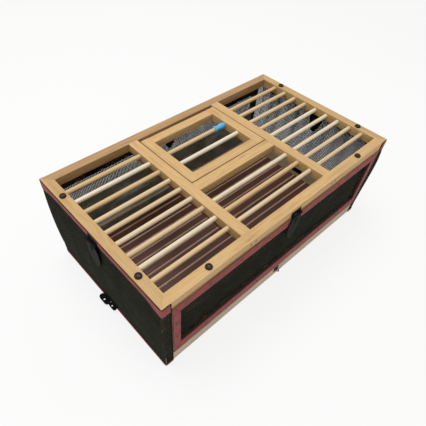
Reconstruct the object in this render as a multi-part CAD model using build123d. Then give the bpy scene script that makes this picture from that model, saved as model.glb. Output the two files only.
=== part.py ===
"""Folding transport crate for racing pigeons.

The crate stands open on its base. +Z is up, +X runs along the long sides towards the end where the
bolt's knob is, and -Y is the front long side, away from the hatch. The origin is the middle of the
base's underside. Millimetres.
"""
from build123d import *
import os

os.makedirs("parts", exist_ok=True)

# Outside of the crate
LENGTH = 700.0
DEPTH = 400.0
HEIGHT = 245.0
HALF_L = LENGTH / 2
HALF_D = DEPTH / 2

# Top frame, its dividers and the hatch opening
RAIL_W = 22.0
RAIL_T = 20.0
DIVIDER_X = 130.0
DIVIDER_W = 24.0
CROSS_FRONT_Y = -38.0
CROSS_BACK_Y = -12.0
FRAME_Z = HEIGHT - RAIL_T
INNER_L = HALF_L - RAIL_W
INNER_D = HALF_D - RAIL_W
BAY_OUT_X = DIVIDER_X + DIVIDER_W / 2
BAY_IN_X = DIVIDER_X - DIVIDER_W / 2

# Round bars
DOWEL_R = 5.0
DOWEL_FIT = 0.05
DOWEL_Z = HEIGHT - 8.0
DOWEL_IN = 8.0
BAY_BARS = 9
BAR_PITCH = 35.0
FIRST_BAR = 34.5
MIDDLE_BARS = 3

# Base
BASE_T = 18.0
BASE_H = 38.5
FLOOR_T = 5.0
FLOOR_REBATE = 10.0

# Hinged net panels on the long sides
PANEL_L = 659.0
PANEL_GAP = 1.5
BATTEN_T = 8.0
PROUD = 1.5
TOP_BATTEN_H = 24.0
BOTTOM_BATTEN_H = 28.0
STILE_W = 18.0
TAPE_T = 0.8
NET_T = 1.0
NET_COLUMNS = 12
PANEL_NET_ROWS = 3
END_NET_ROWS = 6
NET_OPEN = 0.6
PANEL_TOP = FRAME_Z - PANEL_GAP
PANEL_BOTTOM = BASE_H + PANEL_GAP
BATTEN_OUT = HALF_D + PROUD
BATTEN_IN = BATTEN_OUT - BATTEN_T
PANEL_AXIS_Y = 189.5
PANEL_AXIS_Z = FRAME_Z - 3.0
HINGE_X = (-235.0, 0.0, 235.0)
HINGE_L = 40.0
HINGE_LEAF_T = 1.2
KNUCKLE_R = 2.5
KNUCKLE_L = 18.0
KNUCKLE_GAP = 0.5
HINGE_PIN_R = 1.2
KNUCKLE_ROOM = 0.7
LEAF_DROP = 20.0

# Cloth ends
CLOTH_T = 1.0
CLOTH_TOP = HEIGHT - 2.0
WRAP = 19.0
BINDING_TOP = HEIGHT - 1.0
BINDING_H = 26.0
BINDING_WRAP = 17.0
BINDING_WRAP_H = 21.0
HEM_H = 8.0

# Hatch
DOOR_GAP = 2.5
DOOR_X = BAY_IN_X - DOOR_GAP
DOOR_FRONT = CROSS_BACK_Y + DOOR_GAP
DOOR_BACK = INNER_D - 9.0
DOOR_W = 23.0
DOOR_T = RAIL_T
DOOR_AXIS_Y = DOOR_FRONT + 9.0
DOOR_AXIS_Z = HEIGHT - 4.0
DOOR_PIN_R = 1.5
DOOR_PIN_IN = 17.0
DOOR_PIN_OUT = 7.0
PIN_END_ROOM = 0.5
RUNNING = 0.06
DOOR_BAR_STEP = (DOOR_BACK - DOOR_FRONT - 2 * DOOR_W) / 3
BOLT_Y = DOOR_FRONT + DOOR_W + 2 * DOOR_BAR_STEP
DOOR_BAR_Y = DOOR_FRONT + DOOR_W + DOOR_BAR_STEP
BOLT_HALF = DOOR_X - 1.5
BOLT_TRAVEL = 13.0
KNOB_LEFT = 57.0
KNOB_L = 34.0
KNOB_R = 8.0
NOSE_R = 5.8

# Hasps, one in the middle of each side
HASP_W = 30.0
HASP_LEAF_T = 1.2
HASP_LEAF_H = 10.0
HASP_OFFSET = 5.0
HASP_KNUCKLE_R = 2.6
HASP_PIN_R = 1.3
FLAP_T = 1.6
FLAP_L = 74.0
FLAP_W = 40.0
SLOT_W = 5.0
SLOT_L = 18.0
SLOT_DROP = 16.5
HASP_SIDE_Z = FRAME_Z - 0.5
HASP_END_Z = HEIGHT - 14.0

# Small hardware
BUMPER_R = 7.0
BUMPER_H = 3.5
RECESS = 1.0
BUMPER_SIDE_X = 236.0
BUMPER_END_Y = 124.5
SCREW_SPREAD = 6.5
STAPLE_Z = HEIGHT - 221.0
CATCH_W = 44.0
CATCH_LUG_OUT = 15.0
TACK_R = 2.2
TACK_H = 0.8


def block(x, y, z):
    """Box between two corners, each axis given as (low, high)."""
    size = [max(axis) - min(axis) for axis in (x, y, z)]
    middle = [sum(axis) / 2 for axis in (x, y, z)]
    return Pos(*middle) * Box(*size)


def rod(start, end, radius):
    """Cylinder between two points that differ along one axis."""
    along = Vector(*end) - Vector(*start)
    return Solid.make_cylinder(radius, along.length, Plane(origin=start, z_dir=along))


def group(pieces):
    """Separate solids kept together in one sub-part."""
    return Compound([solid for piece in pieces for solid in piece.solids()])


def save(name, shape):
    export_step(shape, f"parts/{name}.step")


def plan_prism(points, low, high):
    """Flat outline in plan, raised between two heights."""
    face = make_face(Polyline(*points, close=True))
    return Pos(0, 0, low) * extrude(face, amount=high - low, dir=(0, 0, 1))


def turned(shape, degrees):
    """The shape turned about the crate's upright middle line."""
    return Rot(0, 0, degrees) * shape


def mirrored(shape, plane):
    return mirror(shape, about=plane)


# Round bars of the top grille

def bar(x0, x1, y, radius=DOWEL_R):
    return rod((x0, y, DOWEL_Z), (x1, y, DOWEL_Z), radius)


def bay_bar_rows():
    return [-INNER_D + FIRST_BAR + BAR_PITCH * i for i in range(BAY_BARS)]


def bay_bars(radius=DOWEL_R):
    left, right = -INNER_L - DOWEL_IN, -BAY_OUT_X + DOWEL_IN
    return [bar(left, right, y, radius) for y in bay_bar_rows()]


def middle_bars(radius=DOWEL_R):
    reach = BAY_IN_X + DOWEL_IN
    return [bar(-reach, reach, y, radius) for y in bay_bar_rows()[:MIDDLE_BARS]]


bars_left = bay_bars()
bars_right = [mirrored(piece, Plane.YZ) for piece in bars_left]
bars_middle = middle_bars()
bay_holes = bay_bars(DOWEL_R + DOWEL_FIT)
bar_holes = bay_holes + [mirrored(piece, Plane.YZ) for piece in bay_holes]
bar_holes += middle_bars(DOWEL_R + DOWEL_FIT)
save("dowels_left_bay", group(bars_left))
save("dowels_right_bay", group(bars_right))
save("dowels_middle_bay", group(bars_middle))


# Screws that hold the dividers, and the bumpers' screws

def wood_screw(length, head_r, shank_r):
    """Countersunk screw, head face at z = 0, pointing down."""
    head = Pos(0, 0, -head_r / 2) * Cone(shank_r, head_r, head_r)
    shank = Pos(0, 0, -length / 2) * Cylinder(shank_r, length)
    slot = Pos(0, 0, -0.4) * Box(2 * head_r, 0.9, 0.8)
    return head + shank - slot


def make_divider_screws():
    screw = Pos(0, -HALF_D, HEIGHT - 10.0) * Rot(90, 0, 0) * wood_screw(42.0, 3.2, 1.6)
    xs = [side * DIVIDER_X + step for side in (-1, 1) for step in (-SCREW_SPREAD, SCREW_SPREAD)]
    front = [Pos(x, 0, 0) * screw for x in xs]
    return front + [turned(piece, 180) for piece in front]


divider_screws = make_divider_screws()


def bumper_places():
    ends = [(side * (HALF_L - RAIL_W / 2), y) for side in (-1, 1) for y in (-BUMPER_END_Y, BUMPER_END_Y)]
    return ends + [(x, -HALF_D + RAIL_W / 2) for x in (-BUMPER_SIDE_X, BUMPER_SIDE_X)]


def bumper():
    button = Pos(0, 0, BUMPER_H / 2) * Cylinder(BUMPER_R, BUMPER_H)
    button = fillet(button.edges().group_by(Axis.Z)[-1], 1.6)
    return button - Pos(0, 0, BUMPER_H - RECESS / 2) * Cylinder(3.0, RECESS)


bumper_screws = [Pos(x, y, HEIGHT + BUMPER_H - RECESS) * wood_screw(16.0, 2.6, 1.5)
                 for x, y in bumper_places()]
bumpers = [Pos(x, y, HEIGHT) * bumper() - screw
           for (x, y), screw in zip(bumper_places(), bumper_screws)]
save("bumper_buttons", group(bumpers))
save("frame_screws", group(divider_screws + bumper_screws))


# Top frame: four mitred rails, two dividers and a cross member

def long_rail():
    outline = [(-HALF_L, -HALF_D), (HALF_L, -HALF_D), (INNER_L, -INNER_D), (-INNER_L, -INNER_D)]
    return plan_prism(outline, FRAME_Z, HEIGHT)


def end_rail():
    outline = [(-HALF_L, -HALF_D), (-INNER_L, -INNER_D), (-INNER_L, INNER_D), (-HALF_L, HALF_D)]
    return plan_prism(outline, FRAME_Z, HEIGHT)


def cut(shape, tools):
    """Take away only the tools that touch the shape's box."""
    near = [tool for tool in tools if boxes_meet(shape.bounding_box(), tool.bounding_box())]
    for tool in near:
        shape = shape - tool
    return shape


def boxes_meet(first, second):
    pairs = zip(first.min, first.max, second.min, second.max)
    return all(low < other_high and other_low < high for low, high, other_low, other_high in pairs)


def door_pin(side, radius, end_room=0.0):
    inner, outer = side * (DOOR_X - DOOR_PIN_IN), side * (BAY_IN_X + DOOR_PIN_OUT + end_room)
    return rod((inner, DOOR_AXIS_Y, DOOR_AXIS_Z), (outer, DOOR_AXIS_Y, DOOR_AXIS_Z), radius)


def pin_socket(side):
    return door_pin(side, DOOR_PIN_R + RUNNING, PIN_END_ROOM)


divider = block((BAY_IN_X, BAY_OUT_X), (-INNER_D, INNER_D), (FRAME_Z, HEIGHT))
divider_tools = bar_holes + divider_screws
bolt_socket = bar(-BOLT_HALF - BOLT_TRAVEL - PIN_END_ROOM, BOLT_HALF, BOLT_Y, DOWEL_R + RUNNING)
divider_right = cut(divider, divider_tools + [pin_socket(1)])
divider_left = cut(mirrored(divider, Plane.YZ), divider_tools + [pin_socket(-1), bolt_socket])
rail_tools = bar_holes + divider_screws + bumper_screws
save("top_rail_front", cut(long_rail(), rail_tools))
save("top_rail_back", cut(turned(long_rail(), 180), rail_tools))
save("top_rail_left", cut(end_rail(), rail_tools))
save("top_rail_right", cut(turned(end_rail(), 180), rail_tools))
save("divider_left", divider_left)
save("divider_right", divider_right)
save("cross_member", block((-BAY_IN_X, BAY_IN_X), (CROSS_FRONT_Y, CROSS_BACK_Y), (FRAME_Z, HEIGHT)))


# Base: a board let into four upright rails

floor_board = block((-HALF_L + BASE_T - FLOOR_REBATE, HALF_L - BASE_T + FLOOR_REBATE),
                    (-HALF_D + BASE_T - FLOOR_REBATE, HALF_D - BASE_T + FLOOR_REBATE),
                    (0, FLOOR_T))
base_long = block((-HALF_L, HALF_L), (-HALF_D, -HALF_D + BASE_T), (0, BASE_H)) - floor_board
base_end = block((-HALF_L, -HALF_L + BASE_T), (-HALF_D + BASE_T, HALF_D - BASE_T), (0, BASE_H))
base_end = base_end - floor_board
save("floor_board", floor_board)
save("base_rail_front", base_long)
save("base_rail_back", turned(base_long, 180))
save("base_rail_left", base_end)
save("base_rail_right", turned(base_end, 180))


# Openings of the nets, coarser than the real mesh

def net_openings(span, up, y, rows):
    """Plain grid of openings over a window of a front-facing net, each axis given as (low, high)."""
    step_x = (span[1] - span[0]) / NET_COLUMNS
    step_z = (up[1] - up[0]) / rows
    half_x, half_z = NET_OPEN * step_x / 2, NET_OPEN * step_z / 2
    middles = [(span[0] + step_x * (i + 0.5), up[0] + step_z * (j + 0.5))
               for i in range(NET_COLUMNS) for j in range(rows)]
    return [block((x - half_x, x + half_x), y, (z - half_z, z + half_z)) for x, z in middles]


# Cloth ends: net over the crate's end, wrapped round both corners, bound with tape

def cloth_end():
    """Net across the end, and its two strips wrapped round the corners."""
    face_x, face_y = HALF_L + CLOTH_T, HALF_D + CLOTH_T
    sheet = block((-face_x, -HALF_L), (-face_y, face_y), (0, CLOTH_TOP))
    through = (-face_x - CLOTH_T, -HALF_L + CLOTH_T)
    holes = net_openings((-INNER_D, INNER_D), (BASE_H, FRAME_Z), through, END_NET_ROWS)
    wrap = block((-HALF_L, -HALF_L + WRAP), (-face_y, -HALF_D), (0, CLOTH_TOP))
    return group([sheet - [turned(hole, -90) for hole in holes], wrap, mirrored(wrap, Plane.XZ)])


def binding(bottom, top, wrap, wrap_bottom):
    """Tape outside the cloth across the end and a little way round both corners."""
    face_x = -HALF_L - CLOTH_T
    face_y = HALF_D + CLOTH_T
    across = block((face_x - TAPE_T, face_x), (-face_y, face_y), (bottom, top))
    around = block((face_x - TAPE_T, -HALF_L + wrap), (-face_y - TAPE_T, -face_y), (wrap_bottom, top))
    return across + around + mirrored(around, Plane.XZ)


end_cloth = cloth_end()
top_binding = binding(BINDING_TOP - BINDING_H, BINDING_TOP, BINDING_WRAP, BINDING_TOP - BINDING_WRAP_H)
hem_binding = binding(0.5, HEM_H, WRAP, 0.5)
for side, angle in (("left", 0), ("right", 180)):
    save(f"end_net_{side}", turned(end_cloth, angle))
    save(f"end_binding_{side}", turned(group([top_binding, hem_binding]), angle))


# Hinged panels of the long sides: four battens behind red tape, net on the inside

def barrel(x0, x1, radius):
    """Length of the front panel's hinge line."""
    return rod((x0, -PANEL_AXIS_Y, PANEL_AXIS_Z), (x1, -PANEL_AXIS_Y, PANEL_AXIS_Z), radius)


def hinge_pin(x, radius=HINGE_PIN_R):
    return barrel(x - HINGE_L / 2, x + HINGE_L / 2, radius)


def hinge_fixed(x):
    """Leaf under the top rail with the two outer knuckles."""
    ends = (x - HINGE_L / 2, x + HINGE_L / 2)
    gap = KNUCKLE_L / 2 + KNUCKLE_GAP
    under = (FRAME_Z - HINGE_LEAF_T, FRAME_Z)
    leaf = block(ends, (-HALF_D + 0.5, -PANEL_AXIS_Y - KNUCKLE_R - KNUCKLE_GAP), under)
    for span in ((ends[0], x - gap), (x + gap, ends[1])):
        leaf += barrel(*span, KNUCKLE_R)
        leaf += block(span, (-PANEL_AXIS_Y - KNUCKLE_R - KNUCKLE_GAP, -PANEL_AXIS_Y), under)
    return leaf - hinge_pin(x)


def hinge_moving(x):
    """Leaf on the panel's inner face with the middle knuckle."""
    inside = -BATTEN_IN + NET_T
    thick = (inside, inside + HINGE_LEAF_T)
    middle = (x - KNUCKLE_L / 2, x + KNUCKLE_L / 2)
    shoulder = PANEL_AXIS_Z - KNUCKLE_R - KNUCKLE_ROOM
    leaf = block((x - HINGE_L / 2, x + HINGE_L / 2), thick, (PANEL_AXIS_Z - LEAF_DROP, shoulder))
    leaf += block(middle, thick, (shoulder, PANEL_AXIS_Z))
    leaf += block(middle, (inside, -PANEL_AXIS_Y), (PANEL_AXIS_Z - KNUCKLE_R, PANEL_AXIS_Z))
    leaf += barrel(*middle, KNUCKLE_R)
    return leaf - hinge_pin(x, HINGE_PIN_R + RUNNING)


def panel_pieces():
    """Front panel's own pieces by name, in the upright pose."""
    half = PANEL_L / 2
    thick = (-BATTEN_OUT, -BATTEN_IN)
    top_z = PANEL_TOP - TOP_BATTEN_H
    bottom_z = PANEL_BOTTOM + BOTTOM_BATTEN_H
    stile = block((-half, -half + STILE_W), thick, (bottom_z, top_z))
    cover = block((-half, half), (-BATTEN_OUT - TAPE_T, -BATTEN_OUT), (PANEL_BOTTOM, PANEL_TOP))
    window = block((-half + STILE_W, half - STILE_W), (-BATTEN_OUT - TAPE_T, -BATTEN_OUT),
                   (bottom_z, top_z))
    net = block((-half, half), (-BATTEN_IN, -BATTEN_IN + NET_T), (PANEL_BOTTOM, PANEL_TOP))
    holes = net_openings((-half + STILE_W, half - STILE_W), (bottom_z, top_z),
                         (-BATTEN_IN - NET_T, -BATTEN_IN + 2 * NET_T), PANEL_NET_ROWS)
    return {
        "top_batten": block((-half, half), thick, (top_z, PANEL_TOP)),
        "bottom_batten": block((-half, half), thick, (PANEL_BOTTOM, bottom_z)),
        "stiles": group([stile, mirrored(stile, Plane.YZ)]),
        "net": net - holes,
        "tape": cover - window,
        "tacks": group(panel_tacks()),
        "hinge_leaves": group([hinge_moving(x) for x in HINGE_X]),
    }


def tack_places():
    """Tack heads along the battens and the stiles, seen from outside."""
    half = PANEL_L / 2
    columns = [-half + STILE_W / 2 + i * (PANEL_L - STILE_W) / 8 for i in range(9)]
    high = PANEL_TOP - TOP_BATTEN_H / 2
    low = PANEL_BOTTOM + BOTTOM_BATTEN_H / 2
    rows = [(x, z) for x in columns for z in (low, high)]
    step = (high - low) / 3
    return rows + [(x, low + step * i) for x in (columns[0], columns[-1]) for i in (1, 2)]


def panel_tacks():
    face = -BATTEN_OUT - TAPE_T
    return [rod((x, face - TACK_H, z), (x, face, z), TACK_R) for x, z in tack_places()]


hinges_front = group([hinge_fixed(x) for x in HINGE_X])
pins_front = [hinge_pin(x) for x in HINGE_X]
save("panel_hinge_pins", group(pins_front + [turned(pin, 180) for pin in pins_front]))
for side, angle in (("front", 0), ("back", 180)):
    for name, piece in panel_pieces().items():
        save(f"{side}_panel_{name}", turned(piece, angle))
    save(f"{side}_frame_hinges", turned(hinges_front, angle))


# Hatch: a framed lid on two pins, with one fixed bar and one bar that is its bolt

def door_side(sign):
    rail = block((sign * (DOOR_X - DOOR_W), sign * DOOR_X), (DOOR_FRONT, DOOR_BACK),
                 (HEIGHT - DOOR_T, HEIGHT))
    return cut(rail, door_holes)


fixed_bar_reach = DOOR_X - DOOR_W + DOWEL_IN
door_holes = [door_pin(-1, DOOR_PIN_R), door_pin(1, DOOR_PIN_R),
              bar(-fixed_bar_reach, fixed_bar_reach, DOOR_BAR_Y, DOWEL_R + DOWEL_FIT),
              bar(-DOOR_X, BOLT_HALF + PIN_END_ROOM, BOLT_Y, DOWEL_R + RUNNING)]
door_inner_x = DOOR_X - DOOR_W
door_top = (HEIGHT - DOOR_T, HEIGHT)
save("hatch_rail_left", door_side(-1))
save("hatch_rail_right", door_side(1))
save("hatch_rail_front", block((-door_inner_x, door_inner_x), (DOOR_FRONT, DOOR_FRONT + DOOR_W), door_top))
save("hatch_rail_back", block((-door_inner_x, door_inner_x), (DOOR_BACK - DOOR_W, DOOR_BACK), door_top))
save("hatch_bar", bar(-fixed_bar_reach, fixed_bar_reach, DOOR_BAR_Y))
save("hatch_pins", group([door_pin(-1, DOOR_PIN_R), door_pin(1, DOOR_PIN_R)]))


def knob():
    """Turned plastic grip round the bolt, with a collar at its left end."""
    collar = Polyline((0, 0), (0, 7.0), (1.2, KNOB_R), (4.2, KNOB_R), (5.4, 7.2))
    waist = ThreePointArc((5.4, 7.2), (12.0, 6.4), (20.0, 7.4))
    nose = ThreePointArc((20.0, 7.4), (29.5, 7.1), (KNOB_L, NOSE_R))
    close = Polyline((KNOB_L, NOSE_R), (KNOB_L, 0), (0, 0))
    grip = revolve(make_face(collar + waist + nose + close), Axis.X)
    return Pos(KNOB_LEFT, BOLT_Y, DOWEL_Z) * grip


hatch_bolt = bar(-BOLT_HALF, BOLT_HALF, BOLT_Y)
save("hatch_bolt", hatch_bolt)
save("bolt_knob", knob() - hatch_bolt)


# Hasps: drawn at the front, hinge line at x = 0, y = 0, z = 0, outwards along -Y

def hasp_leaf():
    back = HASP_OFFSET
    plate = block((-HASP_W / 2, HASP_W / 2), (back - HASP_LEAF_T, back), (1.1, 1.1 + HASP_LEAF_H))
    for x0, x1 in ((-HASP_W / 2, -8.0), (8.0, HASP_W / 2)):
        plate += rod((x0, 0, 0), (x1, 0, 0), HASP_KNUCKLE_R)
        plate += block((x0, x1), (0, back), (1.1, 2.5))
    return plate - rod((-HASP_W / 2, 0, 0), (HASP_W / 2, 0, 0), HASP_PIN_R)


def flap_outline():
    """Shield shape: a narrow shoulder, its widest a third of the way down, a round tip."""
    shoulder, waist = (12.5, -3.4), (FLAP_W / 2, -0.45 * FLAP_L)
    side = ThreePointArc(shoulder, (18.0, -0.22 * FLAP_L), waist)
    lower = ThreePointArc(waist, (13.5, -0.8 * FLAP_L), (4.0, -FLAP_L + 1.0))
    tip = ThreePointArc((4.0, -FLAP_L + 1.0), (0, -FLAP_L), (-4.0, -FLAP_L + 1.0))
    half = [side, lower]
    other = [mirror(line, about=Plane.YZ) for line in half]
    return make_face(half + other + [tip, Line((-12.5, -3.4), shoulder)])


def hasp_flap():
    slot = Pos(0, -SLOT_DROP) * SlotOverall(SLOT_L, SLOT_W, rotation=90)
    plate = extrude(Plane.XZ * (flap_outline() - slot), amount=FLAP_T)
    plate = Pos(0, FLAP_T / 2, 0) * plate
    neck = block((-7.5, 7.5), (-FLAP_T / 2, FLAP_T / 2), (-3.6, 0))
    eye = rod((-7.5, 0, 0), (7.5, 0, 0), HASP_KNUCKLE_R)
    return plate + neck + eye - rod((-9, 0, 0), (9, 0, 0), HASP_PIN_R + RUNNING)


def hasp_screw_places():
    return [(x, HASP_OFFSET - HASP_LEAF_T, 1.1 + HASP_LEAF_H - 3.6) for x in (-10.5, 10.5)]


def hasp_screws():
    return [rod((x, y - 1.2, z), (x, y, z), 2.2) for x, y, z in hasp_screw_places()]


def hasp_to_side(shape, side):
    """Move a hasp piece from its drawing place to one of the four sides."""
    if side in ("front", "back"):
        placed = Pos(0, -HALF_D - HASP_OFFSET, HASP_SIDE_Z) * shape
        return turned(placed, 0 if side == "front" else 180)
    reach = HALF_L + CLOTH_T + TAPE_T + HASP_OFFSET
    placed = Pos(0, -reach, HASP_END_Z) * shape
    return turned(placed, -90 if side == "left" else 90)


sides = ("front", "back", "left", "right")
for side in sides:
    save(f"hasp_leaf_{side}", hasp_to_side(hasp_leaf(), side))
    save(f"hasp_flap_{side}", hasp_to_side(hasp_flap(), side))
hasp_pin = rod((-HASP_W / 2, 0, 0), (HASP_W / 2, 0, 0), HASP_PIN_R)
save("hasp_pins", group([hasp_to_side(hasp_pin, side) for side in sides]))
save("hasp_screws", group([hasp_to_side(group(hasp_screws()), side) for side in sides]))


# Base hardware: staples on the long sides, lugged catches on the ends

def staple():
    plate = block((-8.0, 8.0), (-HALF_D - 1.0, -HALF_D), (STAPLE_Z - 8.0, STAPLE_Z + 8.0))
    leg = Line((0, -HALF_D - 0.5, STAPLE_Z - 4.5), (0, -HALF_D - 5.0, STAPLE_Z - 4.5))
    bow = ThreePointArc(leg @ 1, (0, -HALF_D - 9.0, STAPLE_Z), (0, -HALF_D - 5.0, STAPLE_Z + 4.5))
    path = leg + bow + Line(bow @ 1, (0, -HALF_D - 0.5, STAPLE_Z + 4.5))
    section = Plane(origin=leg @ 0, z_dir=(0, -1, 0)) * Circle(1.1)
    return plate + sweep(section, path=path)


front_staple = staple()
save("base_staples", group([front_staple, turned(front_staple, 180)]))


def lug_outline():
    """Plan of the two-lobed lug, from the rail's face outwards along -X."""
    big = Pos(-CATCH_LUG_OUT / 2, 12.0) * SlotOverall(34.0, CATCH_LUG_OUT, rotation=90)
    small = Pos(-CATCH_LUG_OUT / 3, -16.0) * SlotOverall(24.0, 2 * CATCH_LUG_OUT / 3, rotation=90)
    holes = Pos(-9.0, 12.0) * Circle(2.4) + Pos(-5.5, -14.0) * Circle(2.0)
    return big + small - holes


def end_catch():
    face = -HALF_L - CLOTH_T
    lug = Pos(face - 1.0, 0, 9.0) * extrude(lug_outline(), amount=2.2)
    foot = block((face - 1.6, face), (-CATCH_W / 2 - 6.0, CATCH_W / 2 + 6.0), (9.0, 22.0))
    return lug + foot


def backing_plate():
    inside = -HALF_L + BASE_T
    return block((inside, inside + 1.6), (-CATCH_W / 2, CATCH_W / 2), (21.0, 34.0))


catch_left = end_catch()
plate_left = backing_plate()
save("end_catch_left", catch_left)
save("end_catch_right", turned(catch_left, 180))
save("catch_backing_plates", group([plate_left, turned(plate_left, 180)]))
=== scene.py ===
"""Looks of the pigeon transport crate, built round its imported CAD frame. Metres."""
import math
import random

import bpy
import numpy as np
from mathutils import Matrix, Vector


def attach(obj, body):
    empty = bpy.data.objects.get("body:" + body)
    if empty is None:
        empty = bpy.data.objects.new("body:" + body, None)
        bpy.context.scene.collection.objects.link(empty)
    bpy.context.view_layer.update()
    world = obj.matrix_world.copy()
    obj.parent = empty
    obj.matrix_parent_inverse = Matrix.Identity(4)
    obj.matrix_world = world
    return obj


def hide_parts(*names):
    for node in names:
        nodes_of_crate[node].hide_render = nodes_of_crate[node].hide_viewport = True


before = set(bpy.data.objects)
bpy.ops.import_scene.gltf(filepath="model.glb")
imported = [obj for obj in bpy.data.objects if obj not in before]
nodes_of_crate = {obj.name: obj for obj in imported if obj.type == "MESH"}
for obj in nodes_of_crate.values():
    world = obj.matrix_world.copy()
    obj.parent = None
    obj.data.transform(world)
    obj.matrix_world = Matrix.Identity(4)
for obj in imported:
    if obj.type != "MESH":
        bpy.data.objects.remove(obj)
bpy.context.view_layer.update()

MM = 0.001
PICTURE = 426
FOCAL_PX = 367.19
CENTRE_PX = (200.38, 239.67)
CAMERA_ANGLES = (-45.463, 51.357, 3.769)
CAMERA_PLACE = (-0.50626, -0.43002, 0.77176)


# Camera, from the photograph's own vanishing points

def place_camera():
    azimuth, elevation, roll = (math.radians(a) for a in CAMERA_ANGLES)
    back = Vector((math.sin(azimuth) * math.cos(elevation),
                   -math.cos(azimuth) * math.cos(elevation), math.sin(elevation)))
    level_right = (-back).cross(Vector((0, 0, 1))).normalized()
    level_up = level_right.cross(-back)
    right = math.cos(roll) * level_right + math.sin(roll) * level_up
    up = -math.sin(roll) * level_right + math.cos(roll) * level_up
    data = bpy.data.cameras.new("camera")
    data.sensor_width = 36.0
    data.lens = FOCAL_PX / PICTURE * data.sensor_width
    data.shift_x = (PICTURE / 2 - CENTRE_PX[0]) / PICTURE
    data.shift_y = (CENTRE_PX[1] - PICTURE / 2) / PICTURE
    data.clip_start, data.clip_end = 0.05, 50.0
    camera = bpy.data.objects.new("camera", data)
    bpy.context.scene.collection.objects.link(camera)
    turn = Matrix((right, up, back)).transposed().to_4x4()
    camera.matrix_world = Matrix.Translation(Vector(CAMERA_PLACE)) @ turn
    bpy.context.scene.camera = camera


place_camera()


# Node trees

class Value:
    """A socket on which arithmetic works: each operation adds one Math node."""

    def __init__(self, nodes, socket):
        self.nodes = nodes
        self.socket = socket

    def math(self, operation, *values):
        return self.nodes.add("ShaderNodeMath", {"operation": operation}, dict(enumerate(values)))

    def __add__(self, other):
        return self.math("ADD", self, other)

    def __radd__(self, other):
        return self.math("ADD", other, self)

    def __sub__(self, other):
        return self.math("SUBTRACT", self, other)

    def __rsub__(self, other):
        return self.math("SUBTRACT", other, self)

    def __mul__(self, other):
        return self.math("MULTIPLY", self, other)

    def __rmul__(self, other):
        return self.math("MULTIPLY", other, self)

    def __truediv__(self, other):
        return self.math("DIVIDE", self, other)

    def __rtruediv__(self, other):
        return self.math("DIVIDE", other, self)


class Nodes:
    """One node tree, shader or geometry."""

    def __init__(self, tree):
        self.tree = tree

    def add(self, kind, settings=(), inputs=(), out=0):
        """A node by its type; its settings come first, then its sockets, and its output is returned."""
        node = self.tree.nodes.new(kind)
        for key, value in dict(settings).items():
            setattr(node, key, value)
        for key, value in dict(inputs).items():
            socket = node.inputs[key]
            if isinstance(value, Value):
                self.tree.links.new(value.socket, socket)
            else:
                socket.default_value = value
        return Value(self, node.outputs[out]) if len(node.outputs) else None


class Surface(Nodes):
    """The tree of one material, with the few patterns that every finish here is made of."""

    def __init__(self, name):
        self.material = bpy.data.materials.new(name)
        self.material.use_nodes = True
        self.material.node_tree.nodes.clear()
        super().__init__(self.material.node_tree)
        self.place = self.add("ShaderNodeTexCoord", out="Object")

    def scaled(self, factors, vector=None):
        return self.add("ShaderNodeVectorMath", {"operation": "MULTIPLY"},
                        {0: vector or self.place, 1: factors})

    def noise(self, factors, detail=2.0, rough=0.5, vector=None):
        return self.add("ShaderNodeTexNoise", {}, {"Vector": self.scaled(factors, vector), "Scale": 1.0,
                                                   "Detail": detail, "Roughness": rough})

    def wave(self, value, period):
        """0 to 1 and back over each period."""
        turn = self.add("ShaderNodeMath", {"operation": "SINE"}, {0: value * (2 * math.pi / period)})
        return turn * 0.5 + 0.5

    def step(self, value, low, high):
        """0 below low, 1 above high, smooth between."""
        return self.add("ShaderNodeMapRange", {"interpolation_type": "SMOOTHSTEP"},
                        {"Value": value, "From Min": low, "From Max": high})

    def mix(self, factor, first, second, blend="MIX"):
        return self.add("ShaderNodeMix", {"data_type": "RGBA", "blend_type": blend},
                        {0: factor, 6: first, 7: second}, out=2)

    def axes(self, vector=None):
        split = self.add("ShaderNodeSeparateXYZ", {}, {0: vector or self.place})
        node = split.socket.node
        return [Value(self, node.outputs[i]) for i in range(3)]

    def finish(self, colour, roughness, height=None, depth=0.0002, **fixed):
        """Principled shader with a bump of that depth in metres."""
        inputs = {"Base Color": colour, "Roughness": roughness, **fixed}
        if height is not None:
            inputs["Normal"] = self.add("ShaderNodeBump", {}, {"Strength": 1.0, "Distance": depth,
                                                               "Height": height})
        shader = self.add("ShaderNodeBsdfPrincipled", {}, inputs)
        self.add("ShaderNodeOutputMaterial", {}, {"Surface": shader})
        return self.material


def srgb(red, green, blue):
    """Linear colour of 8-bit values read off a picture."""
    return tuple((c / 255 / 12.92) if c <= 10 else ((c / 255 + 0.055) / 1.055) ** 2.4
                 for c in (red, green, blue)) + (1.0,)


# Wood

def along(axis, lengthwise, across):
    """Scale factors of a pattern drawn out along one axis."""
    return tuple(lengthwise if i == axis else across for i in range(3))


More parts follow.
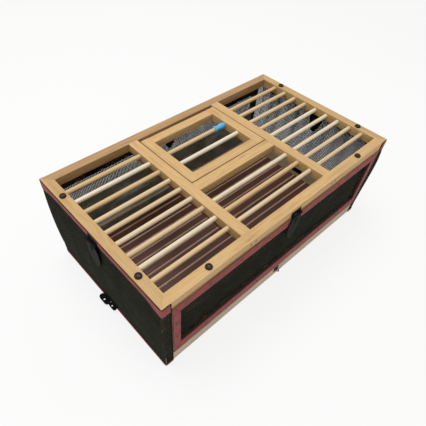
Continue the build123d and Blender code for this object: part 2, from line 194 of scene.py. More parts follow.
def wood(name, axis, pale, deep, dark, gloss=0.5, grime=0.15, fibre_depth=0.0002):
    """Planed softwood: growth streaks along one axis, fine fibres, pores and a little grime."""
    s = Surface(name)
    wander = s.noise(along(axis, 5, 28), 2)
    bent = s.add("ShaderNodeCombineXYZ", {}, {0: wander, 1: wander, 2: wander})
    shift = s.scaled((0.05, 0.05, 0.05), bent)
    swept = s.add("ShaderNodeVectorMath", {"operation": "ADD"}, {0: s.place, 1: shift})
    rings = s.noise(along(axis, 2.5, 190), 3, 0.55, swept)
    streaks = s.noise(along(axis, 9, 420), 3, 0.6)
    fibres = s.noise(along(axis, 60, 2600), 2, 0.6)
    pores = s.step(s.noise(along(axis, 120, 3200), 1), 0.66, 0.74)
    blotch = s.noise((9, 9, 9), 3)
    tone = s.step(rings * 0.62 + streaks * 0.38, 0.36, 0.66)
    colour = s.mix(tone, pale, deep)
    colour = s.mix(s.step(rings, 0.60, 0.74) * 0.45, colour, dark)
    colour = s.mix(s.step(fibres, 0.52, 0.80) * 0.30, colour, dark)
    colour = s.mix(pores * 0.35, colour, dark)
    colour = s.mix(s.step(blotch, 0.52, 0.78) * grime, colour, srgb(120, 98, 70))
    colour = s.mix(s.step(blotch, 0.50, 0.24) * 0.22, colour, pale)
    height = fibres * 0.6 + streaks * 0.5 - pores * 0.8
    roughness = gloss + 0.12 * streaks + 0.08 * fibres
    return s.finish(colour, roughness, height, fibre_depth)


X, Y, Z = 0, 1, 2
frame_pale, frame_deep, frame_dark = srgb(206, 172, 118), srgb(190, 150, 96), srgb(150, 108, 62)
wood_x = wood("frame_wood_lengthwise", X, frame_pale, frame_deep, frame_dark)
wood_y = wood("frame_wood_crosswise", Y, frame_pale, frame_deep, frame_dark)
# The far rail gets a darker copy of the frame wood: painted shade, for its inner face, which is seen in shade.
far_rail_wood_painted_shade = wood("frame_wood_far_rail_painted_shade", X, srgb(178, 142, 96), srgb(158, 120, 78), srgb(122, 84, 52))
end_wood = wood("frame_wood_end_rail", Y, srgb(196, 162, 108), srgb(180, 142, 90), srgb(142, 102, 60))
base_tones = srgb(204, 190, 166), srgb(184, 168, 142), srgb(134, 116, 92)
base_x = wood("base_wood_lengthwise", X, *base_tones, gloss=0.62, grime=0.3)
base_y = wood("base_wood_crosswise", Y, *base_tones, gloss=0.62, grime=0.3)
panel_tones = srgb(188, 150, 100), srgb(160, 120, 78), srgb(112, 76, 46)
batten_wood = wood("batten_wood", X, *panel_tones, gloss=0.55)
stile_wood = wood("stile_wood", Z, *panel_tones, gloss=0.55)
floor_wood = wood("floor_wood", X, srgb(104, 64, 44), srgb(84, 50, 34), srgb(54, 30, 20),
                  gloss=0.36, grime=0.0)
rib_wood = wood("floor_rib_wood", X, srgb(214, 176, 158), srgb(186, 146, 128), srgb(140, 104, 88),
                gloss=0.4, grime=0.1)


BAR_PITCH = 0.035
BAR_SHIFT = 0.0035


def dowel_wood():
    """Round bars: each one a different tint, from cream to tan."""
    s = Surface("dowel_wood")
    x, y, _ = s.axes()
    number = s.add("ShaderNodeMath", {"operation": "ROUND"}, {0: (y + BAR_SHIFT) * (1 / BAR_PITCH)})
    bay = s.add("ShaderNodeMath", {"operation": "ROUND"}, {0: x * 4.0})
    tint = s.add("ShaderNodeTexWhiteNoise", {"noise_dimensions": "2D"},
                 {"Vector": s.add("ShaderNodeCombineXYZ", {}, {0: number, 1: bay})})
    streaks = s.noise((7, 520, 520), 3, 0.6)
    fibres = s.noise((50, 2600, 2600), 2, 0.6)
    colour = s.mix(s.step(tint, 0.1, 0.9), srgb(230, 220, 196), srgb(206, 174, 124))
    colour = s.mix(s.step(streaks, 0.42, 0.72) * 0.5, colour, srgb(186, 152, 102))
    colour = s.mix(s.step(fibres, 0.55, 0.8) * 0.25, colour, srgb(160, 124, 80))
    return s.finish(colour, 0.46 + 0.15 * streaks, fibres * 0.5 + streaks * 0.5, 0.00015)


bars_wood = dowel_wood()


# Metal, plastic and rubber

def black_enamel():
    s = Surface("black_enamel")
    worn = s.noise((160, 160, 160), 4, 0.6)
    grain = s.noise((1500, 1500, 1500), 2)
    colour = s.mix(s.step(worn, 0.45, 0.75), srgb(13, 13, 12), srgb(24, 23, 22))
    colour = s.mix(s.step(worn, 0.72, 0.80) * 0.5, colour, srgb(70, 63, 54))
    return s.finish(colour, 0.55 + 0.25 * worn, grain + worn * 0.5, 0.00003,
                    **{"Specular IOR Level": 0.08})


def zinc_steel():
    s = Surface("zinc_steel")
    cloud = s.noise((220, 220, 220), 4, 0.6)
    grain = s.noise((1800, 1800, 1800), 2)
    colour = s.mix(s.step(cloud, 0.35, 0.7), srgb(176, 174, 168), srgb(120, 116, 108))
    return s.finish(colour, 0.3 + 0.3 * cloud, grain, 0.00005, Metallic=0.9)


def rubber():
    s = Surface("bumper_rubber")
    dust = s.noise((300, 300, 300), 3, 0.6)
    grain = s.noise((2400, 2400, 2400), 2)
    colour = s.mix(s.step(dust, 0.4, 0.75), srgb(38, 31, 29), srgb(62, 50, 45))
    return s.finish(colour, 0.6 + 0.25 * dust, grain, 0.0001, **{"Specular IOR Level": 0.15})


def blue_plastic():
    s = Surface("blue_plastic")
    cloud = s.noise((90, 90, 90), 2)
    scuff = s.noise((60, 1900, 1900), 2)
    colour = s.mix(s.step(cloud, 0.3, 0.7), srgb(66, 164, 208), srgb(84, 178, 218))
    colour = s.mix(s.step(scuff, 0.62, 0.8) * 0.3, colour, srgb(150, 206, 228))
    return s.finish(colour, 0.26 + 0.2 * scuff, scuff, 0.00004, **{"Coat Weight": 0.4})


def dull_steel():
    """Heads of small nails and screws, brown with age."""
    s = Surface("dull_steel")
    rust = s.noise((700, 700, 700), 3, 0.6)
    grain = s.noise((2600, 2600, 2600), 2)
    colour = s.mix(s.step(rust, 0.4, 0.65), srgb(92, 80, 72), srgb(66, 46, 38))
    return s.finish(colour, 0.45 + 0.3 * rust, grain, 0.00004, Metallic=0.5)


enamel = black_enamel()
steel = zinc_steel()
old_steel = dull_steel()
bumper_rubber = rubber()
knob_plastic = blue_plastic()


# Cloth

def net_strand(name, deep, pale, thread_tone):
    """Coated mesh strand, its thread showing."""
    s = Surface(name)
    patch = s.noise((26, 26, 26), 3)
    thread = s.noise((2300, 2300, 2300), 2)
    colour = s.mix(s.step(patch, 0.35, 0.7), deep, pale)
    colour = s.mix(s.step(thread, 0.45, 0.75) * 0.5, colour, thread_tone)
    return s.finish(colour, 0.65 + 0.15 * thread, thread, 0.0001, **{"Specular IOR Level": 0.12})


def woven_tape():
    """Red binding: ribs across its length, edges darkened by painted shade, and the part turned in over a batten
    darkened by painted shade. Its UV runs along and across in millimetres.
    """
    s = Surface("woven_tape")
    uv = s.add("ShaderNodeUVMap", {"uv_map": "tape"})
    u, v, _ = s.axes(uv)
    across = s.add("ShaderNodeAttribute", {"attribute_name": "edge_distance"}, out="Fac")
    rib = s.wave(u, 1.6)
    cross = s.wave(v, 1.1)
    soil = s.noise((55, 55, 55), 4, 0.6)
    thread = s.noise((1900, 1900, 1900), 2)
    colour = s.mix(rib * 0.45 + cross * 0.15, srgb(142, 60, 58), srgb(176, 90, 86))
    colour = s.mix(s.step(soil, 0.40, 0.70) * 0.65, colour, srgb(106, 60, 52))
    colour = s.mix(s.step(thread, 0.6, 0.8) * 0.3, colour, srgb(206, 128, 122))
    # Darker along both edges, broken up by the soil noise: painted shade at the tape's borders.
    colour = s.mix(s.step(across + soil * 2.6, 3.6, 1.6) * 0.7, colour, srgb(78, 36, 32))
    # The part turned in over a batten's edge is painted near black-brown: painted shade in the recess by the net.
    turned = s.add("ShaderNodeAttribute", {"attribute_name": "turned_in"}, out="Fac")
    colour = s.mix(s.step(turned, 0.0, 1.0) * 0.92, colour, srgb(44, 30, 22))
    return s.finish(colour, 0.8, rib * 0.7 + cross * 0.3 + thread * 0.4, 0.0004)


strand = net_strand("net_strand", srgb(26, 27, 18), srgb(36, 36, 25), srgb(50, 48, 34))
# Strands of the second net behind the lower part of each long side: painted shade.
painted_shade_strand = net_strand("painted_shade_strand", srgb(118, 120, 108), srgb(148, 147, 132), srgb(160, 156, 138))
tape_cloth = woven_tape()


# Finishes of the CAD pieces

def paint(material, *names):
    for name in names:
        slots = nodes_of_crate[name].data.materials
        slots.clear()
        slots.append(material)


sides = ("front", "back", "left", "right")
paint(wood_x, "top_rail_front", "cross_member", "hatch_rail_front", "hatch_rail_back")
paint(far_rail_wood_painted_shade, "top_rail_back")
paint(end_wood, "top_rail_left", "top_rail_right")
paint(wood_y, "divider_left", "divider_right", "hatch_rail_left", "hatch_rail_right")
paint(bars_wood, "dowels_left_bay", "dowels_right_bay", "dowels_middle_bay", "hatch_bar", "hatch_bolt")
paint(base_x, "base_rail_front", "base_rail_back")
paint(base_y, "base_rail_left", "base_rail_right")
paint(floor_wood, "floor_board")
for panel in ("front", "back"):
    paint(batten_wood, f"{panel}_panel_top_batten", f"{panel}_panel_bottom_batten")
    paint(stile_wood, f"{panel}_panel_stiles")
    paint(enamel, f"{panel}_frame_hinges", f"{panel}_panel_hinge_leaves")
paint(enamel, "panel_hinge_pins", "hasp_pins", "hasp_screws", "base_staples", "end_catch_left",
      "end_catch_right", "catch_backing_plates")
paint(enamel, *[f"hasp_leaf_{side}" for side in sides], *[f"hasp_flap_{side}" for side in sides])
paint(steel, "hatch_pins")
paint(old_steel, "frame_screws", "front_panel_tacks", "back_panel_tacks")
paint(bumper_rubber, "bumper_buttons")
paint(knob_plastic, "bolt_knob")


def soften(radius, *names):
    """Round the arrises of CAD pieces a little, as handling does."""
    for name in names:
        piece = nodes_of_crate[name]
        weld = piece.modifiers.new("weld", "WELD")
        weld.merge_threshold = 1e-6
        flat = piece.modifiers.new("flat", "DECIMATE")
        flat.decimate_type = "DISSOLVE"
        flat.angle_limit = math.radians(0.5)
        bevel = piece.modifiers.new("bevel", "BEVEL")
        bevel.width = radius
        bevel.segments = 2
        bevel.limit_method = "ANGLE"
        bevel.angle_limit = math.radians(50)
        bevel.harden_normals = False


soften(0.0012, *[f"top_rail_{side}" for side in sides], "divider_left", "divider_right", "cross_member",
       "hatch_rail_left", "hatch_rail_right", "hatch_rail_front", "hatch_rail_back",
       *[f"base_rail_{side}" for side in sides])


# Nets: a lattice of crossing points carries two sets of strands, woven over and under

NET_PITCH = 0.004
STRAND_W = 0.0019
STRAND_T = 0.0009
SQUARE_CORNER = 0.5 * math.sqrt(2)


def tree_input(tree, name, kind, value=None):
    """A named input of a tree; its identifier is returned, which a modifier's setting needs."""
    socket = tree.interface.new_socket(name=name, in_out="INPUT", socket_type=kind)
    if value is not None:
        socket.default_value = value
    return socket.identifier


def weaving_tree():
    """Sweeps a flattened strand along both families of a lattice's edges."""
    tree = bpy.data.node_groups.new("weave_strands", "GeometryNodeTree")
    g = Nodes(tree)
    tree_input(tree, "Lattice", "NodeSocketGeometry")
    keys = {"width": tree_input(tree, "Strand width", "NodeSocketFloat", STRAND_W),
            "thickness": tree_input(tree, "Strand thickness", "NodeSocketFloat", STRAND_T),
            "crimp": tree_input(tree, "Crimp", "NodeSocketFloat", 0.0003),
            "finish": tree_input(tree, "Finish", "NodeSocketMaterial")}
    tree.interface.new_socket(name="Net", in_out="OUTPUT", socket_type="NodeSocketGeometry")
    entry = tree.nodes.new("NodeGroupInput")
    lattice, width, thickness, crimp, finish = [Value(g, entry.outputs[i]) for i in range(5)]
    warp = g.add("GeometryNodeInputNamedAttribute", {"data_type": "BOOLEAN"}, {0: "is_warp"})
    over = g.add("GeometryNodeInputNamedAttribute", {"data_type": "FLOAT"}, {0: "over"})
    outward = g.add("GeometryNodeInputNamedAttribute", {"data_type": "FLOAT_VECTOR"}, {0: "outward"})
    weft = g.add("FunctionNodeBooleanMath", {"operation": "NOT"}, {0: warp})
    profile = g.add("GeometryNodeCurvePrimitiveCircle", {"mode": "RADIUS"},
                    {"Resolution": 4, "Radius": width * SQUARE_CORNER})
    swept = []
    for family, sign in ((warp, 1), (weft, -1)):
        lift = g.add("ShaderNodeVectorMath", {"operation": "SCALE"}, {0: outward, "Scale": over * crimp * sign})
        lifted = g.add("GeometryNodeMeshToCurve", {}, {"Mesh": lattice, "Selection": family})
        lifted = g.add("GeometryNodeSetPosition", {}, {"Geometry": lifted, "Offset": lift})
        here = g.add("GeometryNodeInputPosition")
        kept = g.add("GeometryNodeStoreNamedAttribute", {"data_type": "FLOAT_VECTOR", "domain": "POINT"},
                     {"Geometry": lifted, "Name": "middle", "Value": here})
        swept.append(g.add("GeometryNodeCurveToMesh", {}, {"Curve": kept, "Profile Curve": profile,
                                                           "Fill Caps": True}))
    join = tree.nodes.new("GeometryNodeJoinGeometry")
    for strands in swept:
        tree.links.new(strands.socket, join.inputs[0])
    joined = Value(g, join.outputs[0])
    middle = g.add("GeometryNodeInputNamedAttribute", {"data_type": "FLOAT_VECTOR"}, {0: "middle"})
    here = g.add("GeometryNodeInputPosition")
    arm = g.add("ShaderNodeVectorMath", {"operation": "SUBTRACT"}, {0: here, 1: middle})
    high = g.add("ShaderNodeVectorMath", {"operation": "DOT_PRODUCT"}, {0: arm, 1: outward}, out=1)
    press = g.add("ShaderNodeVectorMath", {"operation": "SCALE"},
                  {0: outward, "Scale": high * (thickness / width - 1)})
    flat = g.add("GeometryNodeSetPosition", {}, {"Geometry": joined, "Offset": press})
    smooth = g.add("GeometryNodeSetShadeSmooth", {}, {"Geometry": flat, "Shade Smooth": True})
    real = g.add("GeometryNodeRealizeInstances", {}, {"Geometry": smooth})
    done = g.add("GeometryNodeSetMaterial", {}, {"Geometry": real, "Material": finish})
    end = tree.nodes.new("NodeGroupOutput")
    tree.links.new(done.socket, end.inputs[0])
    return tree, keys


weave, weave_keys = weaving_tree()


def link_mesh(name, mesh):
    piece = bpy.data.objects.new(name, mesh)
    bpy.context.scene.collection.objects.link(piece)
    return piece


def baked(piece, name):
    """The evaluated piece as a plain mesh of its own; the rough one is removed."""
    graph = bpy.context.evaluated_depsgraph_get()
    mesh = bpy.data.meshes.new_from_object(piece.evaluated_get(graph), depsgraph=graph)
    for layer in ("over", "outward", "middle", "is_warp"):
        if layer in mesh.attributes:
            mesh.attributes.remove(mesh.attributes[layer])
    bpy.data.objects.remove(piece)
    mesh.name = name
    return link_mesh(name, mesh)


def lattice_object(points, outward):
    """Edges between neighbouring crossings; points and outward are (rows, columns, 3) arrays."""
    rows, columns = points.shape[:2]
    number = np.arange(rows * columns).reshape(rows, columns)
    warp = np.stack([number[:-1].ravel(), number[1:].ravel()], 1)
    weft = np.stack([number[:, :-1].ravel(), number[:, 1:].ravel()], 1)
    mesh = bpy.data.meshes.new("lattice")
    mesh.from_pydata(points.reshape(-1, 3).tolist(), np.concatenate([warp, weft]).tolist(), [])
    layer = mesh.attributes.new("is_warp", "BOOLEAN", "EDGE")
    layer.data.foreach_set("value", np.arange(len(warp) + len(weft)) < len(warp))
    parity = 1.0 - 2.0 * (np.add.outer(np.arange(rows), np.arange(columns)) % 2)
    layer = mesh.attributes.new("over", "FLOAT", "POINT")
    layer.data.foreach_set("value", parity.ravel().astype(np.float32))
    layer = mesh.attributes.new("outward", "FLOAT_VECTOR", "POINT")
    layer.data.foreach_set("vector", outward.reshape(-1).astype(np.float32))
    return link_mesh("lattice", mesh)


def woven(name, points, outward, finish):
    rough = lattice_object(points, outward)
    modifier = rough.modifiers.new("weave", "NODES")
    modifier.node_group = weave
    modifier[weave_keys["finish"]] = finish
    return baked(rough, name)


PANEL_HALF = 0.3295
PANEL_LOW, PANEL_HIGH = 0.040, 0.2235
NET_Y = 0.1930


def crossings(low, high):
    count = round((high - low) / NET_PITCH)
    return np.linspace(low, high, count + 1)


def panel_net(side, sign):
    """Flat net tacked on the panel's inner face, a touch slack in its window."""
    edge = STRAND_W / 2
    xs = crossings(-PANEL_HALF + edge, PANEL_HALF - edge)
    zs = crossings(PANEL_LOW + edge, PANEL_HIGH - edge)
    grid_x, grid_z = np.meshgrid(xs, zs)
    rng = np.random.default_rng(3 if sign < 0 else 4)
    inside = np.clip(np.minimum(PANEL_HALF - 0.018 - np.abs(grid_x),
                                np.minimum(grid_z - 0.068, 0.1995 - grid_z)) / 0.03, 0, 1)
    slack = 0.0012 * np.sin(grid_x * 21 + sign) * np.cos(grid_z * 34) * inside
    drift = 0.0004 * np.sin(grid_x * 35 + 2 * sign) * inside
    jitter = rng.normal(0, 0.00006, grid_x.shape)
    points = np.stack([grid_x + jitter + 0.0005 * np.sin(grid_z * 50) * inside,
                       sign * (NET_Y + slack), grid_z + drift], -1)
    outward = np.zeros_like(points)
    outward[..., 1] = sign
    net = woven(f"net_{side}_panel", points, outward, strand)
    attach(net, f"{side}_panel")
    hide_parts(f"{side}_panel_net")


panel_net("front", -1)
panel_net("back", 1)

NET_LOW, NET_TOP = 0.0008, 0.243
CLOTH_X = 0.3505
CLOTH_Y = 0.2005
WRAP_X = 0.331
CORNER = 0.0025


def end_path(side_sign):
    """Plan of the end cloth from one free edge round both corners to the other: places and outward directions."""
    flat = CLOTH_Y - CORNER
    reach = CLOTH_X - CORNER - WRAP_X
    arc = CORNER * math.pi / 2
    total = 2 * (reach + arc + flat)
    places, directions = [], []
    for s in np.linspace(0, total, round(total / NET_PITCH) + 1):
        t = min(s, total - s)
        half = -1 if s < total / 2 else 1
        if t <= reach:
            place, outward = (WRAP_X + t, half * CLOTH_Y), (0.0, half)
        elif t <= reach + arc:
            a = (t - reach) / CORNER
            place = (CLOTH_X - CORNER + CORNER * math.sin(a), half * (flat + CORNER * math.cos(a)))
            outward = (math.sin(a), half * math.cos(a))
        else:
            place, outward = (CLOTH_X, half * (flat - (t - reach - arc))), (1.0, 0.0)
        places.append((side_sign * place[0], place[1]))
        directions.append((side_sign * outward[0], outward[1]))
    return np.array(places), np.array(directions), total


NET_BAG = {"left": 0.003, "right": 0.019}
BAG_SKEW = {"left": 1.0, "right": 1.5}
BAG_LOW, BAG_HIGH = 0.036, 0.219


def end_net(side, sign):
    """Net over the crate's end. It bags outwards between the rails, its corners too, as no post holds them,
    and runs back to the panel along its free edges."""
    plan, outwards, total = end_path(sign)
    zs = crossings(NET_LOW + 0.001, NET_TOP)
    rise = np.clip((zs - BAG_LOW) / (BAG_HIGH - BAG_LOW), 0, 1)
    bag = NET_BAG[side] * np.sin(np.pi * rise ** BAG_SKEW[side]) ** 0.75
    rows, columns = len(zs), len(plan)
    points = np.zeros((rows, columns, 3))
    directions = np.zeros((rows, columns, 3))
    across = np.linspace(-1, 1, columns)
    drawn = np.clip((np.abs(plan[:, 0]) - WRAP_X) / (CLOTH_X - WRAP_X), 0, 1)
    ripple = 1 + 0.12 * np.sin(across * 17 + sign) + 0.06 * np.sin(across * 41)
    for row, z in enumerate(zs):
        points[row, :, 0] = plan[:, 0] + sign * bag[row] * drawn * ripple
        points[row, :, 1] = plan[:, 1]
        points[row, :, 2] = z + 0.0005 * np.sin(across * 23 + z * 40) * (0.002 < z < 0.24)
        directions[row, :, :2] = outwards
    net = woven(f"net_{side}_end", points, directions, strand)
    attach(net, "crate")
    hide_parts(f"end_net_{side}")


end_net("left", -1)
end_net("right", 1)


# A second, paler net behind the lower part of each long side's net: painted shade, standing in for the crate's
# shadow on the ground that shows through the net there. Its pale strands make up for the shade it lies in.
SHADE_NET_HALF = 0.310
SHADE_NET_LOW, SHADE_NET_TOP = 0.044, 0.150
SHADE_NET_Y = 0.1911
SKIRT_HALF = 0.326
SKIRT_LOW, SKIRT_TOP = 0.006, 0.037
SKIRT_Y = 0.1811


def second_net(name, side, sign, half, low, high, depth, body):
    """A plain upright net inside a long side."""
    grid_x, grid_z = np.meshgrid(crossings(-half, half), crossings(low, high))
    points = np.stack([grid_x, np.full_like(grid_x, sign * depth), grid_z], -1)
    outward = np.zeros_like(points)
    outward[..., 1] = sign
    net = woven(name, points, outward, painted_shade_strand)
    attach(net, body)


for side, sign in (("front", -1), ("back", 1)):
    second_net(f"net_{side}_painted_shade", side, sign, SHADE_NET_HALF, SHADE_NET_LOW, SHADE_NET_TOP, SHADE_NET_Y,
               f"{side}_panel")
    second_net(f"net_{side}_skirt", side, sign, SKIRT_HALF, SKIRT_LOW, SKIRT_TOP, SKIRT_Y,
               "crate")


# Red tape: strips with a wavering edge, on the battens and round the ends

TAPE_T = 0.0008
FOLD_DEPTH = 0.0078
FLAT_ROWS = 7


def tape_section(width, fold):
    """Cross-section from one edge to the other as (across, outward, normal across, normal outward).
    fold is 1 or -1 where the tape turns in over that edge of the batten, and 0 where it lies flat."""
    section = [(width * (j / (FLAT_ROWS - 1) - 0.5), 0.0, 0.0, 1.0) for j in range(FLAT_ROWS)]
    if fold:
        edge = width / 2 + 0.0002
        diagonal = math.sqrt(0.5)
        section += [(edge, -0.0001, diagonal, diagonal), (edge, -0.0012, 1.0, 0.0),
                    (edge, -FOLD_DEPTH / 2, 1.0, 0.0), (edge, -FOLD_DEPTH, 1.0, 0.0)]
    if fold < 0:
        section = [(-a, b, -na, nb) for a, b, na, nb in reversed(section)]
    return section


def waver(s, phases):
    """Unevenness of a cut edge at a place along the tape, in metres."""
    return 0.0005 * (1 + 0.6 * math.sin(s * 95 + phases[0]) + 0.4 * math.sin(s * 260 + phases[1]))


def strip(name, line, outward, across, width, seed, fold=0, kept=None):
    """A closed strip of tape. line are the places along its middle, outward the face's direction at each
    and across the direction of its width. kept is the share of the width left at each place, below its
    upper edge. Its UV is in millimetres."""
    rng = random.Random(seed)
    phases = [rng.uniform(0, 6.28) for _ in range(4)]
    section = tape_section(width, fold)
    columns, rows = len(line), len(section)
    travelled = np.concatenate([[0], np.cumsum([(b - a).length for a, b in zip(line, line[1:])])])
    reach = np.concatenate([[0], np.cumsum([math.dist(p[:2], q[:2]) for p, q in zip(section, section[1:])])])
    vertices, uvs, distances, turned = [], [], [], []
    for layer in (1, 0):
        for i, place in enumerate(line):
            s = travelled[i]
            for j, (a, b, na, nb) in enumerate(section):
                if kept:
                    a = width / 2 - (width / 2 - a) * kept[i]
                if j == 0:
                    a, b = a + nb * waver(s, phases[:2]), b - na * waver(s, phases[:2])
                if j == rows - 1:
                    a, b = a - nb * waver(s, phases[2:]), b + na * waver(s, phases[2:])
                lift = (TAPE_T + 0.00015 * math.sin(s * 140 + phases[0]) * math.sin(reach[j] * 200)) * layer
                vertices.append(place + across * (a + na * lift) + outward[i] * (b + nb * lift))
                uvs.append((s / MM, reach[j] / MM))
                distances.append(min(reach[j], reach[-1] - reach[j]) / MM)
                turned.append(float(section[j][1] < 0))

    def corner(layer, i, j):
        return (layer * columns + i) * rows + j

    faces = []
    for i in range(columns - 1):
        for j in range(rows - 1):
            faces.append((corner(0, i, j), corner(0, i + 1, j), corner(0, i + 1, j + 1), corner(0, i, j + 1)))
            faces.append((corner(1, i, j), corner(1, i, j + 1), corner(1, i + 1, j + 1), corner(1, i + 1, j)))
        faces.append((corner(0, i, 0), corner(1, i, 0), corner(1, i + 1, 0), corner(0, i + 1, 0)))
        last = rows - 1
        faces.append((corner(0, i, last), corner(0, i + 1, last), corner(1, i + 1, last), corner(1, i, last)))
    for j in range(rows - 1):
        far = columns - 1
        faces.append((corner(0, 0, j), corner(0, 0, j + 1), corner(1, 0, j + 1), corner(1, 0, j)))
        faces.append((corner(0, far, j), corner(1, far, j), corner(1, far, j + 1), corner(0, far, j + 1)))
    mesh = bpy.data.meshes.new(name)
    mesh.from_pydata([tuple(v) for v in vertices], [], faces)
    layer = mesh.uv_layers.new(name="tape")
    for loop in mesh.loops:
        layer.data[loop.index].uv = uvs[loop.vertex_index]
    distance = mesh.attributes.new("edge_distance", "FLOAT", "POINT")
    distance.data.foreach_set("value", distances)
    mesh.attributes.new("turned_in", "FLOAT", "POINT").data.foreach_set("value", turned)
    mesh.materials.append(tape_cloth)
    outer = mesh.polygons[1]
    if outer.normal.dot(outward[0] * section[0][3] + across * section[0][2]) < 0:
        mesh.flip_normals()
    for face in mesh.polygons:
        face.use_smooth = True
    return link_mesh(name, mesh)


def straight(start, end, step=0.003):
    start, end = Vector(start), Vector(end)
    count = max(2, round((end - start).length / step))
    return [start.lerp(end, i / count) for i in range(count + 1)]


BATTEN_FACE = 0.2015


def panel_tape(side, sign):
    """Tape over the outer face of the panel's two battens and two stiles."""
    out = Vector((0, sign, 0))
    up, along_x = Vector((0, 0, 1)), Vector((1, 0, 0))
    y = sign * BATTEN_FACE
    stile = PANEL_HALF - 0.009
    stile_low, stile_high = 0.0692, 0.1983
    strips = {
        "top": (straight((-PANEL_HALF, y, 0.2115), (PANEL_HALF, y, 0.2115)), up, 0.024, -1),
        "bottom": (straight((-PANEL_HALF, y, 0.054), (PANEL_HALF, y, 0.054)), up, 0.028, 1),
        "left": (straight((-stile, y, stile_low), (-stile, y, stile_high)), along_x, 0.018, 1),
        "right": (straight((stile, y, stile_low), (stile, y, stile_high)), along_x, 0.018, -1),
    }
    for number, (place, (line, across, width, fold)) in enumerate(strips.items()):
        piece = strip(f"tape_{side}_panel_{place}", line, [out] * len(line), across, width,
                      number + 10 * (sign + 2), fold)
        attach(piece, f"{side}_panel")
        width + FOLD_DEPTH
        (line[-1] - line[0]).length
        if place == "top":
            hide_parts(f"{side}_panel_tape")


panel_tape("front", -1)
panel_tape("back", 1)


def binding_line(sign, z, wrap_x):
    """Places round one end, from one long side to the other, and the outward directions there."""
    x_face, y_face = CLOTH_X + 0.0005, CLOTH_Y + 0.0005
    radius = 0.0035
    places, outwards = [], []
    for x in np.linspace(wrap_x, x_face - radius, 8):
        places.append((x, -y_face))
        outwards.append((0, -1))
    for a in np.linspace(0, math.pi / 2, 6)[1:]:
        places.append((x_face - radius + radius * math.sin(a), -y_face + radius - radius * math.cos(a)))
        outwards.append((math.sin(a), -math.cos(a)))
    for y in np.linspace(-y_face + radius, y_face - radius, 136)[1:]:
        places.append((x_face, y))
        outwards.append((1, 0))
    for a in np.linspace(math.pi / 2, 0, 6)[1:]:
        places.append((x_face - radius + radius * math.sin(a), y_face - radius + radius * math.cos(a)))
        outwards.append((math.sin(a), math.cos(a)))
    for x in np.linspace(x_face - radius, wrap_x, 8)[1:]:
        places.append((x, y_face))
        outwards.append((0, 1))
    return ([Vector((sign * x, y, z)) for x, y in places],
            [Vector((sign * x, y, 0)) for x, y in outwards])


HEM_SHOWN = 0.0076


def kept_width(y):
    """Share of the binding's width that shows: all of it at the corners, about half between them, where
    its lower edge is turned under."""
    into = min(max((CLOTH_Y - abs(y)) / 0.05, 0.0), 1.0)
    return 1.0 - 0.45 * into * into * (3 - 2 * into)


def end_tape(side, sign):
    """Binding along the cloth's top edge, and its hem at the base."""
    for place, z, width, wrap in (("top", 0.231, 0.026, 0.333), ("hem", 0.00425, 0.0075, 0.331)):
        line, outwards = binding_line(sign, z, wrap)
        kept = [kept_width(p.y) if place == "top" else 1.0 for p in line]
        piece = strip(f"binding_{side}_{place}", line, outwards, Vector((0, 0, 1)), width,
                      30 + 2 * sign + (place == "hem"), kept=kept)
        length = sum((b - a).length for a, b in zip(line, line[1:]))
        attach(piece, "crate")
        shown_width = max(width * sum(kept) / len(kept), HEM_SHOWN)
        shown_width * round(length, 4) * 0.98
        if place == "top":
            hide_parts(f"end_binding_{side}")


end_tape("left", -1)
end_tape("right", 1)


def divider_strip():
    """Dark strip along the lower left edge of the left divider."""
    x, half, z, width = -0.1420, 0.150, 0.2222, 0.0055
    line = straight((x, -half, z), (x, half, z))
    piece = strip("divider_left_strip", line, [Vector((-1, 0, 0))] * len(line), Vector((0, 0, 1)), width, 71)
    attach(piece, "crate")


divider_strip()


# Ribs of the floor

RIB_PITCH = 0.0228
RIBS = 15


def rib_tree():
    """Low rounded ribs, side by side along Y."""
    tree = bpy.data.node_groups.new("floor_ribs", "GeometryNodeTree")
    g = Nodes(tree)
    tree_input(tree, "Start", "NodeSocketGeometry")
    keys = {"finish": tree_input(tree, "Finish", "NodeSocketMaterial")}
    for name, value in (("Half length", 0.3315), ("Half width", 0.0026), ("Flatness", 0.5),
                        ("First", -RIB_PITCH * (RIBS // 2)), ("Pitch", RIB_PITCH)):
        tree_input(tree, name, "NodeSocketFloat", value)
    tree.interface.new_socket(name="Ribs", in_out="OUTPUT", socket_type="NodeSocketGeometry")
    entry = tree.nodes.new("NodeGroupInput")
    finish, half_length, half_width, flatness, first, pitch = [Value(g, entry.outputs[i]) for i in range(1, 7)]
    low = g.add("ShaderNodeCombineXYZ", {}, {0: half_length * -1})
    high = g.add("ShaderNodeCombineXYZ", {}, {0: half_length})
    line = g.add("GeometryNodeCurvePrimitiveLine", {}, {"Start": low, "End": high})
    profile = g.add("GeometryNodeCurvePrimitiveCircle", {"mode": "RADIUS"}, {"Resolution": 12,
                                                                            "Radius": half_width})
    rib = g.add("GeometryNodeCurveToMesh", {}, {"Curve": line, "Profile Curve": profile, "Fill Caps": True})
    squeeze = g.add("ShaderNodeCombineXYZ", {}, {0: 1.0, 1: 1.0, 2: flatness})
    rib = g.add("GeometryNodeTransform", {}, {"Geometry": rib, "Scale": squeeze})
    place = g.add("ShaderNodeCombineXYZ", {}, {1: first, 2: 0.005})
    offset = g.add("ShaderNodeCombineXYZ", {}, {1: pitch})
    row = g.add("GeometryNodeMeshLine", {}, {"Count": RIBS, "Start Location": place, "Offset": offset})
    ribs = g.add("GeometryNodeInstanceOnPoints", {}, {"Points": row, "Instance": rib})
    real = g.add("GeometryNodeRealizeInstances", {}, {"Geometry": ribs})
    smooth = g.add("GeometryNodeSetShadeSmooth", {}, {"Geometry": real, "Shade Smooth": True})
    done = g.add("GeometryNodeSetMaterial", {}, {"Geometry": smooth, "Material": finish})
    end = tree.nodes.new("NodeGroupOutput")
    tree.links.new(done.socket, end.inputs[0])
    return tree, keys


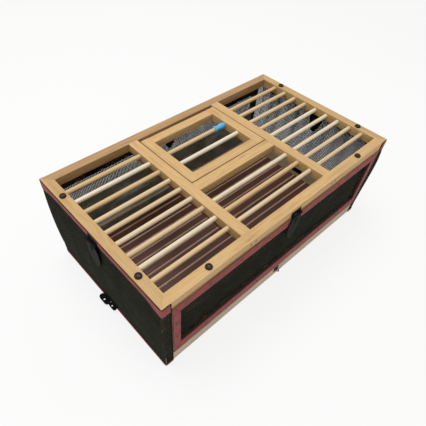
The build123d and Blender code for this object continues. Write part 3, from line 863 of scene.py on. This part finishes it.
def floor_ribs():
    tree, keys = rib_tree()
    rough = link_mesh("ribs", bpy.data.meshes.new("ribs"))
    modifier = rough.modifiers.new("ribs", "NODES")
    modifier.node_group = tree
    modifier[keys["finish"]] = rib_wood
    ribs = baked(rough, "floor_ribs")
    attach(ribs, "crate")


floor_ribs()


# Light and floor

def seen_ray(nodes):
    """1 for rays from the camera, and for what metal and glass show; 0 for light on the object."""
    path = nodes.tree.nodes.new("ShaderNodeLightPath")
    seen = Value(nodes, path.outputs["Is Camera Ray"])
    seen = nodes.add("ShaderNodeMath", {"operation": "MAXIMUM"},
                     {0: seen, 1: Value(nodes, path.outputs["Is Glossy Ray"])})
    return nodes.add("ShaderNodeMath", {"operation": "MAXIMUM"},
                     {0: seen, 1: Value(nodes, path.outputs["Is Transmission Ray"])})


def light_world():
    world = bpy.data.worlds.new("world")
    bpy.context.scene.world = world
    world.use_nodes = True
    world.node_tree.nodes.clear()
    w = Nodes(world.node_tree)
    seen = seen_ray(w)
    fill = w.add("ShaderNodeBackground", {}, {"Color": (1.0, 0.985, 0.96, 1), "Strength": 0.62})
    white = w.add("ShaderNodeBackground", {}, {"Color": (1, 1, 1, 1), "Strength": 1.0})
    both = w.add("ShaderNodeMixShader", {}, {0: seen, 1: fill, 2: white})
    w.add("ShaderNodeOutputWorld", {}, {"Surface": both})


def soft_lamp(name, place, target, size, power):
    data = bpy.data.lights.new(name, "AREA")
    data.shape = "SQUARE"
    data.size = size
    data.energy = power
    lamp = bpy.data.objects.new(name, data)
    bpy.context.scene.collection.objects.link(lamp)
    lamp.location = place
    lamp.rotation_euler = (Vector(target) - Vector(place)).to_track_quat("-Z", "Y").to_euler()


def pale_floor():
    mesh = bpy.data.meshes.new("floor")
    reach = 6.0
    mesh.from_pydata([(-reach, -reach, 0), (reach, -reach, 0), (reach, reach, 0), (-reach, reach, 0)], [],
                     [(0, 1, 2, 3)])
    floor = link_mesh("studio_floor", mesh)
    f = Surface("studio_floor")
    seen = seen_ray(f)
    matt = f.add("ShaderNodeBsdfDiffuse", {}, {"Color": (0.86, 0.86, 0.86, 1)})
    white = f.add("ShaderNodeEmission", {}, {"Color": (1, 1, 1, 1), "Strength": 1.0})
    both = f.add("ShaderNodeMixShader", {}, {0: seen * 0.8, 1: matt, 2: white})
    f.add("ShaderNodeOutputMaterial", {}, {"Surface": both})
    mesh.materials.append(f.material)


light_world()
soft_lamp("key", (-0.25, 0.45, 2.3), (0, 0, 0.1), 1.6, 29)
soft_lamp("side", (-1.9, -1.5, 1.3), (0, 0, 0.1), 1.4, 3)
pale_floor()
bpy.context.scene.view_settings.view_transform = "Standard"
